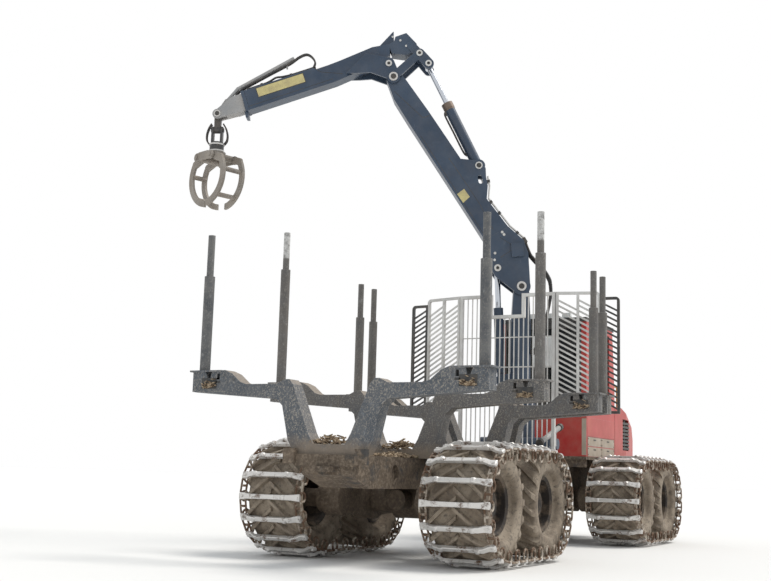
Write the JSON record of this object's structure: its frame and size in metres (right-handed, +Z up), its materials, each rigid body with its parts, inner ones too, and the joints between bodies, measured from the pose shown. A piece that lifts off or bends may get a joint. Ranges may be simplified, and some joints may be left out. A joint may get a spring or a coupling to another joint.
{
  "type": "forestry forwarder",
  "caption": "Articulated forestry forwarder on tracked bogies, with load bunks and stakes, a gate, a cab and a knuckle-boom crane with grapple.",
  "frame": {"origin": "middle of the belly plate's underside, on the steering axis, 0.6 m above the ground", "axes": "+X forward along the machine, +Y to its left, +Z up"},
  "size_m": [10.46, 6.9014, 8.1585],
  "materials": {
    "frame_paint": "dark paint under dried mud",
    "axle_iron": "cast housings caked with mud",
    "bunk_paint": "slate grey paint, scuffed to bare metal",
    "stake_steel": "worn dark grey paint with bark rub marks",
    "gate_steel": "pale worn paint",
    "crane_paint": "dark slate paint, semi-gloss",
    "red_paint": "faded red paint with dust",
    "dark_paint": "black textured paint",
    "yellow_paint": "yellow paint",
    "extension_paint": "light grey paint",
    "rod_chrome": "polished chrome",
    "glass": "tinted, dusty",
    "seat_cover": "dark woven cover",
    "lamp_body": "clear lens over reflector",
    "engine_iron": "grey cast iron",
    "exhaust_steel": "heat-tinted steel",
    "link_steel": "dark cast steel, greasy",
    "grapple_steel": "bare steel with rust and bark dust",
    "tyre": "rubber coated with mud",
    "rim_paint": "painted steel coated with mud",
    "track_steel": "bare steel, polished on the bars"
  },
  "bodies": {
    "rear_frame": {"rear_frame": "frame_paint", "rear_axle": "axle_iron", "bunks": "bunk_paint", "stakes": "stake_steel", "gate_middle": "gate_steel", "gate_wings": "gate_steel", "crane_base": "crane_paint"},
    "centre_joint": {"centre_joint": "axle_iron"},
    "front_frame": {"front_frame": "frame_paint", "front_axle": "axle_iron", "cab_base": "red_paint", "cab_frame": "red_paint", "cab_roof": "dark_paint", "cab_glass": "glass", "operator_seat": "seat_cover", "work_lamps": "lamp_body", "engine_block": "engine_iron"},
    "cab_door": {"cab_door": "red_paint", "door_glass": "glass"},
    "hood": {"hood": "red_paint", "hood_grilles": "dark_paint", "side_rails": "yellow_paint", "exhaust": "exhaust_steel"},
    "slew_column": {"slew_column": "crane_paint"},
    "lift_barrel": {"lift_barrel": "crane_paint"},
    "lift_rod": {"lift_rod": "rod_chrome"},
    "main_boom": {"main_boom": "crane_paint"},
    "stick_barrel": {"stick_barrel": "crane_paint"},
    "stick_rod": {"stick_rod": "rod_chrome"},
    "outer_boom": {"outer_boom": "crane_paint"},
    "extension": {"extension": "extension_paint", "hose_bar": "extension_paint"},
    "tip_link": {"tip_link": "link_steel"},
    "rotator": {"rotator": "link_steel"},
    "grapple_head": {"grapple_head": "grapple_steel"},
    "jaw_near": {"jaw_near": "grapple_steel"},
    "jaw_far": {"jaw_far": "grapple_steel"},
    "bogie_front_left": {"bogie_fl": "axle_iron", "tyres_fl": "tyre", "rims_fl": "rim_paint", "track_fl": "track_steel"},
    "bogie_front_right": {"bogie_fr": "axle_iron", "tyres_fr": "tyre", "rims_fr": "rim_paint", "track_fr": "track_steel"},
    "bogie_rear_left": {"bogie_rl": "axle_iron", "tyres_rl": "tyre", "rims_rl": "rim_paint", "track_rl": "track_steel"},
    "bogie_rear_right": {"bogie_rr": "axle_iron", "tyres_rr": "tyre", "rims_rr": "rim_paint", "track_rr": "track_steel"}
  },
  "joints": [
    {"name": "frame_roll", "type": "hinge", "parent": "rear_frame", "child": "centre_joint", "pos_m": [-0.43, 0, 0.43], "axis": [1, 0, 0], "range_deg": [-10, 10]},
    {"name": "steering", "type": "hinge", "parent": "centre_joint", "child": "front_frame", "pos_m": [0, 0, 0.3], "axis": [0, 0, 1], "range_deg": [-40, 40]},
    {"name": "bogie_front_left_pitch", "type": "hinge", "parent": "front_frame", "child": "bogie_front_left", "pos_m": [1.7, 0.625, 0.1095], "axis": [0, 1, 0], "range_deg": [-15, 15]},
    {"name": "bogie_front_right_pitch", "type": "hinge", "parent": "front_frame", "child": "bogie_front_right", "pos_m": [1.7, -0.625, 0.1095], "axis": [0, 1, 0], "range_deg": [-15, 15]},
    {"name": "bogie_rear_left_pitch", "type": "hinge", "parent": "rear_frame", "child": "bogie_rear_left", "pos_m": [-4.31, 0.625, 0.1095], "axis": [0, 1, 0], "range_deg": [-15, 15]},
    {"name": "bogie_rear_right_pitch", "type": "hinge", "parent": "rear_frame", "child": "bogie_rear_right", "pos_m": [-4.31, -0.625, 0.1095], "axis": [0, 1, 0], "range_deg": [-15, 15]},
    {"name": "cab_door_swing", "type": "hinge", "parent": "front_frame", "child": "cab_door", "pos_m": [0.658, 0.76, 2], "axis": [0, 0, 1], "range_deg": [0, 100]},
    {"name": "hood_tilt", "type": "hinge", "parent": "front_frame", "child": "hood", "pos_m": [3.69, 0, 0.75], "axis": [0, 1, 0], "range_deg": [0, 55]},
    {"name": "crane_slew", "type": "hinge", "parent": "rear_frame", "child": "slew_column", "pos_m": [-0.6, 0, 1.6], "axis": [0, 0, 1], "range_deg": [-125, 255]},
    {"name": "boom_lift", "type": "hinge", "parent": "slew_column", "child": "main_boom", "pos_m": [-0.6, 0, 3.363], "axis": [0.9063, 0.4226, 0], "range_deg": [-55, 20]},
    {"name": "stick_fold", "type": "hinge", "parent": "main_boom", "child": "outer_boom", "pos_m": [-1.48368, 1.89505, 6.73537], "axis": [-0.9063, -0.4226, 0], "range_deg": [-50, 48]},
    {"name": "extension_slide", "type": "slide", "parent": "outer_boom", "child": "extension", "axis": [-0.3976, 0.8527, -0.3387], "range_m": [0, 1.1]},
    {"name": "lift_barrel_swing", "type": "hinge", "parent": "slew_column", "child": "lift_barrel", "pos_m": [-0.72679, 0.27189, 1.9], "axis": [0.9063, 0.4226, 0], "range_deg": [-10, 10]},
    {"name": "lift_rod_slide", "type": "slide", "parent": "lift_barrel", "child": "lift_rod", "axis": [-0.0185, 0.0397, 0.999], "range_m": [-0.45, 0.2]},
    {"name": "stick_barrel_swing", "type": "hinge", "parent": "main_boom", "child": "stick_barrel", "pos_m": [-0.89337, 0.62913, 5.29289], "axis": [0.9063, 0.4226, 0], "range_deg": [-5, 5]},
    {"name": "stick_rod_slide", "type": "slide", "parent": "stick_barrel", "child": "stick_rod", "axis": [-0.1893, 0.4059, 0.8941], "range_m": [-0.5, 0.48]},
    {"name": "link_swing", "type": "hinge", "parent": "extension", "child": "tip_link", "pos_m": [-2.68452, 4.47026, 6.09608], "axis": [0.9063, 0.4226, 0], "range_deg": [-40, 100]},
    {"name": "link_tilt", "type": "hinge", "parent": "tip_link", "child": "rotator", "pos_m": [-2.68452, 4.47026, 5.84608], "axis": [-0.4226, 0.9063, 0], "range_deg": [-45, 45]},
    {"name": "grapple_turn", "type": "hinge", "parent": "rotator", "child": "grapple_head", "pos_m": [-2.68452, 4.47026, 5.45608], "axis": [0, 0, 1], "continuous": true},
    {"name": "jaw_near_open", "type": "hinge", "parent": "grapple_head", "child": "jaw_near", "pos_m": [-2.73422, 4.30769, 5.36108], "axis": [-0.9563, 0.2924, 0], "range_deg": [-8, 50]},
    {"name": "jaw_far_open", "type": "hinge", "parent": "grapple_head", "child": "jaw_far", "pos_m": [-2.63482, 4.63284, 5.36108], "axis": [-0.9563, 0.2924, 0], "range_deg": [-50, 8]}
  ],
  "couplings": [
    {"joint": "lift_barrel_swing", "follows": "boom_lift", "ratio": 0.09},
    {"joint": "lift_rod_slide", "follows": "boom_lift", "m_per_rad": 0.42},
    {"joint": "stick_barrel_swing", "follows": "stick_fold", "ratio": 0.05},
    {"joint": "stick_rod_slide", "follows": "stick_fold", "m_per_rad": 0.51},
    {"joint": "jaw_far_open", "follows": "jaw_near_open", "ratio": -1}
  ]
}
